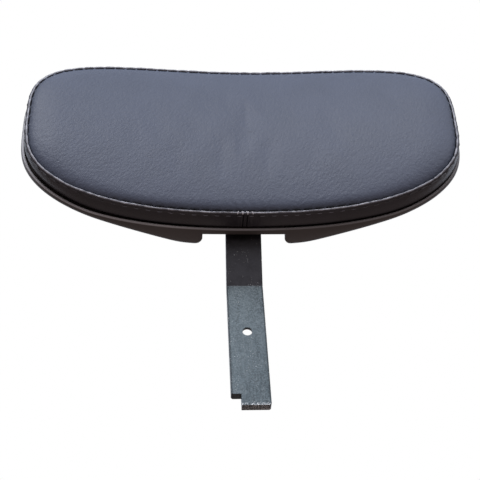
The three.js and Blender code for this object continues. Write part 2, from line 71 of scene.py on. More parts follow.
TILT = math.radians(12)
WRAP = 500 * MM  # radius of the cylinder that the pad is bent around
HALF_WIDTH = 151.5 * MM  # of the seam line, along the wrap
HALF_HEIGHT = 61.5 * MM
BELLY = 2.5 * MM  # how far the lower edge drops below that at the middle
POWER = 3.3  # exponent of the rounded outline
TUCK = 3.5 * MM
PIVOT_IN_PAD = Vector((0, 24 * MM, -35.5 * MM))

RIM_DEPTH = 14.8 * MM
RIM_OUT = 4.2 * MM
RIM_WALL = 1.8 * MM
SHELL_WALL = 2.4 * MM
SHELL_CORNER = 5.5 * MM
WING_DEPTH = 8 * MM
HUMP_DEPTH = 15.3 * MM
HUMP_FLAT = 42 * MM
HUMP_REACH = 120 * MM
HUMP_TOP_FADE = 0.6

CHANNEL_HALF = 29 * MM
CHANNEL_TOP = -4 * MM
CHANNEL_LIP = 20.2 * MM
CHANNEL_FLARE = 10 * MM
CHANNEL_FLARE_FROM = 25 * MM
LIP_FLANGE = 13.5 * MM
BRACKET_FRONT = 13 * MM

SCREW_S, SCREW_H = 95 * MM, 27 * MM
BOSS_RADIUS, HEAD_BORE, HOLE_RADIUS, SCREW_SEAT = 6.5 * MM, 4.8 * MM, 2.4 * MM, 18.5 * MM
PAST_SHELL = 60 * MM  # a depth that is clear of the whole shell

FACE_ROLL = {"rise": 3.2 * MM, "reach": 1.6 * MM}  # the quick rise beside the seam
TOP_EASE = 0.7  # how much lower that rise is along the top edge
CREASE = 1.7 * MM  # how far in from the seam the leather is darkened, as painted shade in the crease
FACE_SLOPE = {"rise": 4.4 * MM, "reach": 11 * MM}  # the slow one further in
CORNER_FALL = 0.75  # how much deeper that slope is at the two lower corners
FACE_DOME = 2.0 * MM
FOAM_BACK = 6.9 * MM

# ---------- stitching ----------

STITCHES = 96  # round the whole seam, starting at the bottom centre
# "share" is the part of the pitch that shows as thread
BAND_STITCH = {"share": 0.5, "depth": 1.25 * MM, "radius": 0.3 * MM}
FACE_STITCH = {"share": 0.8, "inset": 1.05 * MM, "radius": 0.68 * MM}
TACK_RADIUS = 0.36 * MM

STEM_LOWER = 96.5 * MM  # length of the stem below its bend
PIVOT = Vector(frame["joints"][0]["pos_m"])
PAD_TURN = Matrix.Rotation(TILT, 3, "X")
PAD_ORIGIN = PIVOT - PAD_TURN @ PIVOT_IN_PAD


# ---------- small helpers ----------


def smoothstep(value, low, high):
    t = np.clip((np.asarray(value, float) - low) / (high - low), 0, 1)
    return t * t * (3 - 2 * t)


def to_frame(points):
    """Points of the pad's own frame, as points of the row frame."""
    return np.asarray(points) @ np.array(PAD_TURN).T + np.array(PAD_ORIGIN)


def make_object(name, vertices, faces):
    mesh = bpy.data.meshes.new(name)
    mesh.from_pydata([tuple(v) for v in vertices], [], [tuple(f) for f in faces])
    mesh.validate()
    piece = bpy.data.objects.new(name, mesh)
    bpy.context.scene.collection.objects.link(piece)
    return piece


def face_outward(piece):
    """Turns every face of a closed mesh outward."""
    bm = bmesh.new()
    bm.from_mesh(piece.data)
    bmesh.ops.recalc_face_normals(bm, faces=bm.faces)
    bm.to_mesh(piece.data)
    bm.free()


def smooth_by_angle(piece, degrees):
    piece.data.polygons.foreach_set("use_smooth", [True] * len(piece.data.polygons))
    piece.data.set_sharp_from_angle(angle=math.radians(degrees))


def set_painted_light(piece, values):
    """One number per vertex, which the piece's material reads: painted shade on the leather, painted highlight on
    the shell.
    """
    painted_light = piece.data.attributes.new("painted_light", "FLOAT", "POINT")
    painted_light.data.foreach_set("value", np.asarray(values, np.float32))


def apply_modifiers(piece):
    evaluated = piece.evaluated_get(bpy.context.evaluated_depsgraph_get())
    mesh = bpy.data.meshes.new_from_object(evaluated)
    piece.modifiers.clear()
    piece.data = mesh


def combine(piece, tool, operation):
    """One boolean step; the tool is used up."""
    modifier = piece.modifiers.new("boolean", "BOOLEAN")
    modifier.operation = operation
    modifier.object = tool
    modifier.solver = "EXACT"
    apply_modifiers(piece)
    bpy.data.objects.remove(tool)
    return piece


# ---------- outline and lofting ----------


class Outline:
    """The seam line, sampled at given shares of the way round from the bottom centre."""

    FINE = 4096

    def __init__(self, shares):
        angle = np.linspace(0, 2 * math.pi, self.FINE, endpoint=False) - math.pi / 2
        c, d = np.cos(angle), np.sin(angle)
        fine_s = HALF_WIDTH * np.sign(c) * np.abs(c) ** (2 / POWER)
        drop = np.where(d < 0, BELLY * (1 - (fine_s / HALF_WIDTH) ** 2), 0)
        fine_h = (HALF_HEIGHT + drop) * np.sign(d) * np.abs(d) ** (2 / POWER)
        fine_s, fine_h = np.append(fine_s, fine_s[0]), np.append(fine_h, fine_h[0])
        run = np.append(0, np.cumsum(np.hypot(np.diff(fine_s), np.diff(fine_h))))
        self.length = run[-1]
        self.share = np.asarray(shares, float)

        def at(share):
            way = (share % 1) * self.length
            return np.interp(way, run, fine_s), np.interp(way, run, fine_h)

        self.s, self.h = at(self.share)
        step = 0.6 * MM / self.length
        before, after = at(self.share - step), at(self.share + step)
        along_s, along_h = after[0] - before[0], after[1] - before[1]
        size = np.hypot(along_s, along_h)
        self.normal_s, self.normal_h = along_h / size, -along_s / size

    @classmethod
    def even(cls, count):
        return cls(np.arange(count) / count)

    def ring(self, out, depth, scale=1.0):
        """Points in the row frame: moved outward, scaled, at a depth behind the seam plane.

        Out and depth are numbers or one value per sample; depth may also be a function of (s, h)."""
        depth_at = depth if callable(depth) else (lambda s, h: depth)
        first = depth_at(self.s * scale, self.h * scale)
        tip = smoothstep(np.abs(self.s) / HALF_WIDTH, 0.65, 1)
        reach = out - TUCK * tip * np.clip(np.asarray(first) / RIM_DEPTH, 0, 1)
        s = (self.s + self.normal_s * reach) * scale
        h = (self.h + self.normal_h * reach) * scale
        return on_pad(s, depth_at(s, h), h)


def on_pad(s, depth, h):
    """Row-frame points for places on the wrapped pad."""
    s, depth, h = np.broadcast_arrays(*(np.asarray(x, float) for x in (s, depth, h)))
    radius = WRAP + depth
    points = np.stack([radius * np.sin(s / WRAP), radius * np.cos(s / WRAP) - WRAP, h], -1)
    return to_frame(points)


def pad_place(points):
    """The (s, depth, h) of row-frame points: the reverse of on_pad."""
    local = (np.asarray(points) - np.array(PAD_ORIGIN)) @ np.array(PAD_TURN)
    x, y = local[:, 0], local[:, 1] + WRAP
    return np.arctan2(x, y) * WRAP, np.hypot(x, y) - WRAP, local[:, 2]


def loft(name, rings, caps=()):
    """A closed surface through rings: joined end to end, or capped at each end by the point given."""
    size = len(rings[0])
    vertices = np.concatenate(rings)
    faces = []
    strips = len(rings) - 1 if len(caps) else len(rings)
    for row in range(strips):
        low, high = row * size, (row + 1) % len(rings) * size
        for i in range(size):
            j = (i + 1) % size
            faces.append((low + i, low + j, high + j, high + i))
    if len(caps):
        first, last = len(vertices), len(vertices) + 1
        vertices = np.concatenate([vertices, np.asarray(caps).reshape(2, 3)])
        top = (len(rings) - 1) * size
        for i in range(size):
            j = (i + 1) % size
            faces.append((first, j, i))
            faces.append((last, top + i, top + j))
    piece = make_object(name, vertices, faces)
    face_outward(piece)
    return piece


# ---------- cushion ----------

FACE_INSETS = [  # in mm from the seam
    0.1, 0.25, 0.5, 0.8, 1.2, 1.7, 2.3, 3.0, 3.8, 4.8, 6.0, 7.4, 9.0, 11.0, 13.4, 16.0, 19.0,
]
FACE_SCALES = np.linspace(0.96, 0.04, 24)  # of the last of those rings, on in to the middle
VALLEY = {"depth": 1.8 * MM, "reach": 0.9 * MM}  # where the face turns down into the seam


def share_out(s, h):
    """How far out a place is: 0 at the pad's middle and 1 on the seam."""
    reach = np.abs(s / HALF_WIDTH) ** POWER + np.abs(h / HALF_HEIGHT) ** POWER
    return np.minimum(reach ** (1 / POWER), 1)


def crown(inset, s, h):
    """Height of the face above the seam plane."""
    roll = FACE_ROLL["rise"] * (1 - math.exp(-inset / FACE_ROLL["reach"]))
    roll = roll * (1 - TOP_EASE * smoothstep(h, 0, HALF_HEIGHT))
    slope = FACE_SLOPE["rise"] * (1 - math.exp(-inset / FACE_SLOPE["reach"]))
    corner = smoothstep(np.abs(s) / HALF_WIDTH, 0.35, 0.95)
    corner = corner * smoothstep(-h / HALF_HEIGHT, -0.3, 0.7)
    fall = CORNER_FALL * FACE_SLOPE["rise"] * corner * math.exp(-inset / FACE_SLOPE["reach"])
    slope = slope - fall * (1 - math.exp(-inset / VALLEY["reach"]))
    valley = VALLEY["depth"] * math.exp(-inset / VALLEY["reach"])
    return roll + slope - valley + FACE_DOME * (1 - share_out(s, h) ** 2)


def cushion_rings(outline, insets, scales, folds=None):
    """Rings of the closed cushion, from mid front round the edge to mid back, and its two caps."""
    deepest = insets[-1]
    rings = []
    for scale in reversed(scales):
        inset = deepest + (1 - scale) * (HALF_HEIGHT - deepest)
        rings.append(outline.ring(-deepest, lambda s, h, i=inset: -crown(i, s, h), scale))
    for inset in reversed(insets):
        fold = folds(outline, inset) if folds else 0
        rings.append(outline.ring(-inset, lambda s, h, i=inset, f=fold: f - crown(i, s, h)))
    for depth in (2.6 * MM, 4.2 * MM, FOAM_BACK - 0.8 * MM):
        rings.append(outline.ring(-0.9 * MM, depth))
    for inset in (1.4 * MM, 2.4 * MM, 12 * MM):
        rings.append(outline.ring(-inset, FOAM_BACK))
    for scale in (0.7, 0.4, 0.15):
        rings.append(outline.ring(-12 * MM, FOAM_BACK, scale))
    front = on_pad(0, -crown(HALF_HEIGHT, 0, 0), 0)
    back = on_pad(0, FOAM_BACK, 0)
    return rings, [front, back]


SWELL = {"voxel": 4.5 * MM, "pressure": 4.0, "frames": 20, "cap": 2.2 * MM, "hold": 4.0 * MM}


def simulated_swell():
    """Inflates a remeshed copy of the cushion as cloth, held at its seam and back.

    Returns the rest points and how far each moved."""
    outline = Outline.even(160)
    insets = [x * MM for x in FACE_INSETS[2::2]]
    rings, caps = cushion_rings(outline, insets, FACE_SCALES[1::2])
    copy = loft("swell_copy", rings, caps)
    remesh = copy.modifiers.new("remesh", "REMESH")
    remesh.mode = "VOXEL"
    remesh.voxel_size = SWELL["voxel"]
    apply_modifiers(copy)
    rest = np.array([v.co for v in copy.data.vertices])
    s, depth, h = pad_place(rest)
    margin = seam_margin(s, h)
    loose = smoothstep(margin, SWELL["hold"] * 0.5, SWELL["hold"] * 2) * (depth < 0.5 * MM)
    group = copy.vertex_groups.new(name="held")
    for index, free in enumerate(loose):
        group.add([index], 1 - float(free), "REPLACE")

    cloth = copy.modifiers.new("cloth", "CLOTH")
    settings = cloth.settings
    settings.quality = 6
    settings.use_pressure = True
    settings.uniform_pressure_force = SWELL["pressure"]
    settings.tension_stiffness = 25
    settings.compression_stiffness = 25
    settings.bending_stiffness = 2
    settings.vertex_group_mass = "held"
    settings.effector_weights.gravity = 0
    cloth.collision_settings.use_collision = False
    cloth.point_cache.frame_start = 1
    cloth.point_cache.frame_end = SWELL["frames"]
    scene = bpy.context.scene
    for number in range(1, SWELL["frames"] + 1):
        scene.frame_set(number)
    evaluated = copy.evaluated_get(bpy.context.evaluated_depsgraph_get())
    moved = np.array([v.co for v in evaluated.data.vertices]) - rest
    scene.frame_set(1)
    bpy.data.objects.remove(copy)
    size = np.linalg.norm(moved, axis=1, keepdims=True) + 1e-12
    return rest, moved / size * SWELL["cap"] * np.tanh(size / SWELL["cap"])


def seam_margin(s, h):
    """Roughly how far in from the seam line a place is."""
    return (1 - share_out(s, h)) * HALF_HEIGHT


def spread_swell(points, rest, moved):
    """Moves points as their nearest simulated neighbours moved."""
    tree = KDTree(len(rest))
    for index, place in enumerate(rest):
        tree.insert(place, index)
    tree.balance()
    result = np.array(points)
    for index, point in enumerate(points):
        near = tree.find_n(point, 6)
        weights = np.array([1 / (distance + 0.5 * MM) ** 2 for _, _, distance in near])
        shift = sum(w * moved[i] for w, (_, i, _) in zip(weights, near)) / weights.sum()
        result[index] += shift
    return result


def seam_phase(outline):
    """The place round the seam in stitches; holes are at whole numbers."""
    return outline.share * STITCHES


def pull(outline, sharpness=6):
    """1 at each stitch hole, falling to 0 between holes."""
    return ((1 + np.cos(2 * math.pi * seam_phase(outline))) / 2) ** sharpness


def from_bottom(outline):
    """Distance along the seam from the bottom centre, positive to the right."""
    return ((outline.share + 0.5) % 1 - 0.5) * outline.length


PUCKER = {"height": 0.2 * MM, "reach": 3 * MM}
GATHER = {"height": 0.22 * MM, "reach": 7 * MM, "spread": 16 * MM, "pitch": 6.2 * MM}


def face_puckers(outline, inset):
    """Small folds that run in from the stitch holes, with deeper ones round the closing seam."""
    rng = np.random.default_rng(RANDOM_SEED)
    strength = rng.uniform(0.35, 1.0, STITCHES)
    slant = rng.uniform(-0.12, 0.12, STITCHES)
    phase = seam_phase(outline)
    hole = np.round(phase).astype(int) % STITCHES
    inward = inset / PUCKER["reach"]
    wave = np.cos(2 * math.pi * (phase + slant[hole] * inward))
    edge = PUCKER["height"] * strength[hole] * wave * math.exp(-inward)
    away = from_bottom(outline)
    near = np.exp(-((away / GATHER["spread"]) ** 2))
    fold = np.cos(2 * math.pi * (away + 0.5 * inset) / GATHER["pitch"])
    gather = GATHER["height"] * near * fold * math.exp(-inset / GATHER["reach"])
    return edge + gather


BRIDGE = {"rise": 1.3 * MM, "inset": 1.0 * MM, "reach": 0.9 * MM, "sharpness": 16}


def bridges(outline, inset):
    """1 where the leather stands up between two of the groove's stitches, falling to 0 beside it.

    It stands up less along the bottom."""
    away = (inset - BRIDGE["inset"]) / BRIDGE["reach"]
    height = 0.3 + 0.7 * smoothstep(outline.h, -45 * MM, 0)
    return pull(outline, BRIDGE["sharpness"]) * height * math.exp(-(away**2))


def face_folds(outline, inset):
    return face_puckers(outline, inset) - BRIDGE["rise"] * bridges(outline, inset)


def build_cushion():
    outline = Outline.even(12 * STITCHES)
    insets = [x * MM for x in FACE_INSETS]
    rings, caps = cushion_rings(outline, insets, FACE_SCALES, face_folds)
    piece = loft("leather_face", rings, caps)
    flat = np.zeros(len(FACE_SCALES) * len(outline.s))
    # Painted shade: the leather is darkened in the crease beside the seam, less between the stitches and near the
    # top, and on its sides and back.
    edge = [math.exp(-inset / CREASE) * (1 - bridges(outline, inset)) for inset in reversed(insets)]
    near_top = np.tile(smoothstep(outline.h, 25 * MM, 55 * MM), len(insets))
    edge = np.concatenate(edge) * (1 - 0.95 * near_top)
    behind = np.ones((len(rings) - len(FACE_SCALES) - len(insets)) * len(outline.s))
    set_painted_light(piece, [*flat, *edge, *behind, 0, 1])
    rest, moved = simulated_swell()
    points = np.array([v.co for v in piece.data.vertices])
    swollen = spread_swell(points, rest, moved)
    piece.data.vertices.foreach_set("co", swollen.astype(np.float32).ravel())
    piece.data.update()
    smooth_by_angle(piece, 180)
    return piece


# ---------- band ----------

# The band's section, as (out, depth) in mm: up the ridge along the seam, down the side, round to
# the hem and back inside.  The number is how much of the stitches' pull each point takes.
BAND_SECTION = [
    (-1.3, 2.6, 0.0),
    (-1.2, 1.0, 0.0),
    (-1.0, -0.1, 0.2),
    (-0.65, -0.75, 0.5),
    (-0.1, -1.0, 0.8),
    (0.5, -0.95, 0.9),
    (0.95, -0.65, 0.9),
    (1.2, -0.1, 0.9),
    (1.28, 0.5, 1.0),
    (1.24, 1.25, 1.3),
    (1.36, 2.0, 1.0),
    (1.58, 3.0, 0.5),
    (1.84, 4.3, 0.2),
    (2.06, 5.8, 0.0),
    (2.22, 7.5, 0.0),
    (2.32, 9.2, 0.0),
    (2.32, 10.8, 0.0),
    (2.22, 12.3, 0.0),
    (1.98, 13.5, 0.0),
    (1.4, 14.2, 0.0),
    (0.5, 14.5, 0.0),
    (-0.6, 14.5, 0.0),
    (-6.4, 14.4, 0.0),
    (-6.4, 13.1, 0.0),
    (-1.2, 12.95, 0.0),
    (0.75, 11.6, 0.0),
    (1.1, 8.0, 0.0),
    (0.6, 5.0, 0.0),
    (-0.2, 3.4, 0.0),
]
SEAM_WELT = {"half": 1.4 * MM, "groove": 0.9 * MM, "width": 0.5 * MM, "puff": 0.35 * MM}


def band_outline():
    """Even samples, with closer ones across the closing seam at the bottom."""
    even = Outline.even(12 * STITCHES)
    far = np.abs(from_bottom(even)) > 6.3 * MM
    across = np.linspace(-6, 6, 49) * MM / even.length
    return Outline(np.sort(np.concatenate([even.share[far], across % 1])))


def closing_seam(outline):
    """How far the band sinks at the two edges of the closing seam, and swells beside them."""
    away = from_bottom(outline)
    gap = (np.abs(away) - SEAM_WELT["half"]) / SEAM_WELT["width"]
    groove = SEAM_WELT["groove"] * np.exp(-(gap**2))
    swell = SEAM_WELT["puff"] * np.exp(-(((np.abs(away) - 3.2 * MM) / (1.3 * MM)) ** 2))
    return swell - groove


def band_wobble(outline):
    """Slow unevenness of hand-pulled leather round the band."""
    rng = np.random.default_rng(RANDOM_SEED + 1)
    total = np.zeros(len(outline.share))
    for waves in (3, 5, 8, 13, 21, 34):
        height = rng.uniform(0.3, 1) / waves**0.5
        total += height * np.cos(2 * math.pi * (waves * outline.share + rng.random()))
    return 0.12 * MM * total


HEM_LIFT = {"up": 1.5 * MM, "in": 0.9 * MM, "middle": -172 * MM, "reach": 75 * MM}


def hem_lift(outline):
    """The hem is drawn in and up round the lower left corner: 1 there, falling to 0 away from it."""
    away = (from_bottom(outline) - HEM_LIFT["middle"]) / HEM_LIFT["reach"]
    return np.exp(-(away**2))


def build_band():
    outline = band_outline()
    holes = pull(outline)
    wobble = band_wobble(outline)
    seam = closing_seam(outline)
    lifted = hem_lift(outline)
    rings = []
    for out, depth, share in BAND_SECTION:
        outside = smoothstep(depth, 0.0, 2.5) * (1 - smoothstep(depth, 12.0, 14.0)) * (out > 1.0)
        near_hem = smoothstep(depth, 5.0, 12.5) * lifted
        shift = -0.13 * MM * share * holes + outside * (seam + wobble) - HEM_LIFT["in"] * near_hem
        dip = 0.16 * MM * share * holes * (depth < 0.5) - HEM_LIFT["up"] * near_hem
        rings.append(outline.ring(out * MM + shift, depth * MM + dip))
    piece = loft("leather_band", rings)
    # Painted shade: the band's colour is darkened along the two grooves of the closing seam.
    gap = (np.abs(from_bottom(outline)) - SEAM_WELT["half"]) / (0.7 * SEAM_WELT["width"])
    set_painted_light(piece, np.tile(np.exp(-(gap**2)), len(rings)))
    smooth_by_angle(piece, 180)
    return piece


FOLD = {"out": -0.12 * MM, "depth": -0.95 * MM, "radius": 0.72 * MM}


def build_fold():
    """The face leather's turned edge: a narrow roll along the seam, pinched at the holes."""
    outline = Outline.even(12 * STITCHES)
    rng = np.random.default_rng(RANDOM_SEED + 3)
    uneven = rng.normal(0, 0.07, STITCHES)
    hole = np.round(seam_phase(outline)).astype(int) % STITCHES
    size = FOLD["radius"] * (1 + uneven[hole] * pull(outline, 1) - 0.36 * pull(outline))
    slow = np.cos(2 * math.pi * (7 * outline.share + 0.2))
    wander = 0.16 * MM * slow * np.cos(2 * math.pi * 31 * outline.share)
    rings = []
    for turn in np.linspace(0, 2 * math.pi, 12, endpoint=False):
        out = FOLD["out"] + wander + size * math.cos(turn)
        rings.append(outline.ring(out, FOLD["depth"] + size * math.sin(turn)))
    piece = loft("seam_fold", rings)
    smooth_by_angle(piece, 180)
    return piece


# ---------- thread ----------


def tube(path, radius, sides=8):
    """Vertices and faces of a closed tube along a path, with rounded ends."""
    path = np.asarray(path)
    tangent = np.gradient(path, axis=0)
    tangent /= np.linalg.norm(tangent, axis=1, keepdims=True)
    helper = np.array([0.31, 0.52, 0.79])
    side = np.cross(tangent, helper)
    side /= np.linalg.norm(side, axis=1, keepdims=True)
    other = np.cross(tangent, side)
    turn = np.linspace(0, 2 * math.pi, sides, endpoint=False)
    size = np.full(len(path), radius)
    size[[0, -1]] *= 0.45
    rings = [
        p + r * (np.outer(np.cos(turn), a) + np.outer(np.sin(turn), b))
        for p, r, a, b in zip(path, size, side, other)
    ]
    vertices = np.concatenate([*rings, [path[0]], [path[-1]]])
    faces = []
    for row in range(len(path) - 1):
        low, high = row * sides, (row + 1) * sides
        for i in range(sides):
            j = (i + 1) % sides
            faces.append((low + i, low + j, high + j, high + i))
    first, last, top = len(vertices) - 2, len(vertices) - 1, (len(path) - 1) * sides
    for i in range(sides):
        j = (i + 1) % sides
        faces.append((first, j, i))
        faces.append((last, top + i, top + j))
    return vertices, faces


def thread_object(name, paths, radius):
    vertices, faces = [], []
    for path in paths:
        points, cells = tube(path, radius)
        start = sum(len(v) for v in vertices)
        vertices.append(points)
        faces += [tuple(start + i for i in cell) for cell in cells]
    piece = make_object(name, np.concatenate(vertices), faces)
    face_outward(piece)
    smooth_by_angle(piece, 60)
    return piece


def stitch_outlines(share, along):
    """For each stitch, the seam line where its thread shows."""
    gap = (1 - share) / 2
    return [Outline((stitch + gap + share * along) / STITCHES) for stitch in range(STITCHES)]


def build_band_stitches():
    """The row of top-stitches on the band, one thread from hole to hole."""
    rng = np.random.default_rng(RANDOM_SEED + 2)
    along = np.linspace(0, 1, 9)
    lift = (-0.45 + 0.62 * np.sin(math.pi * along) ** 0.6) * MM
    paths = []
    for outline in stitch_outlines(BAND_STITCH["share"], along):
        drop = rng.uniform(-0.2, 0.2) * MM * (2 * along - 1)
        paths.append(outline.ring(1.24 * MM + lift, BAND_STITCH["depth"] + drop))
    return thread_object("band_stitches", paths, BAND_STITCH["radius"])


def build_face_stitches():
    """The seam's long dark stitches, in the groove between the ridge and the face."""
    along = np.linspace(0, 1, 11)
    lift = (-1.0 + 1.3 * np.sin(math.pi * along) ** 0.35) * MM
    inset = FACE_STITCH["inset"]
    paths = []
    for outline in stitch_outlines(FACE_STITCH["share"], along):
        paths.append(outline.ring(-inset, lambda s, h: -crown(inset, s, h) - lift))
    return thread_object("face_stitches", paths, FACE_STITCH["radius"])


TACK_STARTS = [-4.6, -2.9, -1.3, 0.4, 2.2, 3.9]  # in mm from the bottom centre


def build_back_tack():
    """The zigzag that locks the seam's end: short threads over the ridge at the bottom centre."""
    length = Outline.even(4).length
    along = np.linspace(0, 1, 9)
    paths = []
    for number, start in enumerate(TACK_STARTS):
        lean = 1.3 if number % 2 else -1.0
        share = (start + lean * along) * MM / length
        outline = Outline(share)
        over = np.sin(math.pi * along) ** 0.7
        out = (-1.0 + 1.9 * along) * MM
        depth = (-0.55 - 1.35 * over + 0.3 * along) * MM
        paths.append(outline.ring(out, depth))
    return thread_object("seam_back_tack", paths, TACK_RADIUS)


# ---------- rear shell ----------


# Painted highlight behind the rim's edge: coloured light up to the first depth, black from the second.
RIM_HIGHLIGHT = (0.1 * MM, 0.9 * MM)


def shell_back(s, h):
    """Depth of the shell's back surface behind the seam plane."""
    run = (np.abs(s) - HUMP_FLAT) / (HUMP_REACH - HUMP_FLAT)
    softened = (run + np.hypot(run, 0.08)) / 2
    hump = np.maximum(1 - softened, 0) ** 2
    height = 1 - HUMP_TOP_FADE * smoothstep(h, 5 * MM, HALF_HEIGHT)
    return RIM_DEPTH + WING_DEPTH + HUMP_DEPTH * hump * height


def corner_rings(outline, out, radius, inward, steps=7):
    rings = []
    for turn in np.linspace(0, math.pi / 2, steps):
        back = inward + radius * (1 - math.sin(turn))
        side = out - radius * (1 - math.cos(turn))
        rings.append(outline.ring(side, lambda s, h, b=back: shell_back(s, h) - b))
    return rings


BACK_SCALES = [0.97, 0.93, 0.88, 0.82, 0.76, 0.69, 0.62, 0.54, 0.46, 0.38, 0.3, 0.21, 0.12]


def back_rings(outline, out, inward):
    return [outline.ring(out, lambda s, h: shell_back(s, h) - inward, x) for x in BACK_SCALES]


def shell_dish(outline):
    inner = RIM_OUT - RIM_WALL
    inner_corner = SHELL_CORNER - RIM_WALL
    outside = corner_rings(outline, RIM_OUT, SHELL_CORNER, 0)
    outside += back_rings(outline, RIM_OUT - SHELL_CORNER, 0)
    inside = corner_rings(outline, inner, inner_corner, SHELL_WALL)
    inside += back_rings(outline, inner - inner_corner, SHELL_WALL)
    edge = [
        outline.ring(inner, RIM_DEPTH + 0.35 * MM),
        outline.ring(inner + 0.15 * MM, RIM_DEPTH + 0.1 * MM),
        outline.ring(inner + 0.45 * MM, RIM_DEPTH),
        outline.ring(RIM_OUT - 0.95 * MM, RIM_DEPTH),
        outline.ring(RIM_OUT - 0.5 * MM, RIM_DEPTH + 0.13 * MM),
        outline.ring(RIM_OUT - 0.15 * MM, RIM_DEPTH + 0.45 * MM),
        outline.ring(RIM_OUT, RIM_DEPTH + 0.95 * MM),
    ]
    caps = [on_pad(0, shell_back(0, 0) - SHELL_WALL, 0), on_pad(0, shell_back(0, 0), 0)]
    return loft("moulded_shell", [*inside[::-1], *edge, *outside], caps)


def shell_core(outline):
    """A solid that ends halfway through the shell's wall, to trim the channel walls and bosses."""
    edge = RIM_OUT - RIM_WALL / 2
    flat = [outline.ring(edge, BRACKET_FRONT, scale) for scale in (0.2, 0.5, 0.8, 1)]
    corner = corner_rings(outline, edge, SHELL_CORNER, SHELL_WALL / 2)
    back = back_rings(outline, edge - SHELL_CORNER, SHELL_WALL / 2)
    caps = [on_pad(0, BRACKET_FRONT, 0), on_pad(0, shell_back(0, 0) - SHELL_WALL / 2, 0)]
    return loft("shell_core", [*flat, *corner, *back], caps)


def prism(name, corners, low, high):
    """A closed prism with (x, y) corners in the pad frame, from height low to high."""
    count = len(corners)
    points = [(x, y, z) for z in (low, high) for x, y in corners]
    faces = [tuple(range(count))[::-1], tuple(range(count, 2 * count))]
    faces += [(i, (i + 1) % count, count + (i + 1) % count, count + i) for i in range(count)]
    piece = make_object(name, to_frame(points), faces)
    face_outward(piece)
    return piece


def block(name, x0, x1, y0, y1, z0, z1):
    return prism(name, [(x0, y0), (x1, y0), (x1, y1), (x0, y1)], z0, z1)


def channel_corners(grow, start):
    """The channel's section: straight walls, then a rounded flare at the back."""
    half, radius = CHANNEL_HALF + grow, CHANNEL_FLARE - grow
    right = [(half, start)]
    for t in np.linspace(0, math.pi / 2, 9):
        x = half + radius * (1 - math.cos(t))
        right.append((x, CHANNEL_FLARE_FROM + radius * math.sin(t)))
    right += [(half + radius, PAST_SHELL)]
    return right + [(-x, y) for x, y in reversed(right)]


def screw_rod(name, place, radius, start, end, sides=32):
    """A closed rod square to the wrapped pad at a screw's place, between two depths."""
    s, h = place
    turn = np.linspace(0, 2 * math.pi, sides, endpoint=False)
    angle = s / WRAP
    cos, sin = math.cos(angle), math.sin(angle)
    points = []
    for depth in (start, end):
        y = WRAP + depth
        for t in turn:
            x, z = radius * math.cos(t), h + radius * math.sin(t)
            points.append((x * cos + y * sin, y * cos - x * sin - WRAP, z))
    faces = [tuple(range(sides))[::-1], tuple(range(sides, 2 * sides))]
    faces += [(i, (i + 1) % sides, sides + (i + 1) % sides, sides + i) for i in range(sides)]
    piece = make_object(name, to_frame(points), faces)
    face_outward(piece)
    return piece


def build_shell():
    outline = Outline.even(360)
    below = -HALF_HEIGHT - 20 * MM
    flange_top = -HALF_HEIGHT - BELLY - RIM_OUT + LIP_FLANGE
    half, wall, lip = CHANNEL_HALF, SHELL_WALL, CHANNEL_LIP
    places = [(a * SCREW_S, b * SCREW_H) for a in (-1, 1) for b in (-1, 1)]

    walls = prism("walls", channel_corners(wall, BRACKET_FRONT + 3.3 * MM), below, CHANNEL_TOP + wall)
    combine(walls, shell_core(outline), "INTERSECT")
    combine(walls, block("floor", -half, half, 0, lip, flange_top, CHANNEL_TOP), "DIFFERENCE")
    combine(walls, block("front", -half, half, 0, lip - wall, below, flange_top + 1 * MM), "DIFFERENCE")
    flange = block("flange", -half - wall, half + wall, lip - wall, lip, below, flange_top)
    combine(flange, shell_core(outline), "INTERSECT")

    shell = shell_dish(outline)
    combine(shell, walls, "UNION")
    combine(shell, flange, "UNION")
    for place in places:
        boss = screw_rod("boss", place, BOSS_RADIUS, BRACKET_FRONT + 0.2 * MM, 40 * MM)
        combine(shell, combine(boss, shell_core(outline), "INTERSECT"), "UNION")
    combine(shell, prism("open_back", channel_corners(0, lip), below, CHANNEL_TOP), "DIFFERENCE")
    for place in places:
        combine(shell, screw_rod("head_bore", place, HEAD_BORE, SCREW_SEAT, PAST_SHELL), "DIFFERENCE")
        combine(shell, screw_rod("screw_hole", place, HOLE_RADIUS, 0, PAST_SHELL), "DIFFERENCE")
    smooth_by_angle(shell, 32)
    # Painted highlight: a light line along the rim's edge, by depth behind the rim.
    points = np.array([v.co for v in shell.data.vertices])
    behind_rim = pad_place(points)[1] - RIM_DEPTH
    set_painted_light(shell, 1 - smoothstep(behind_rim, *RIM_HIGHLIGHT))
    return shell


# ---------- materials ----------


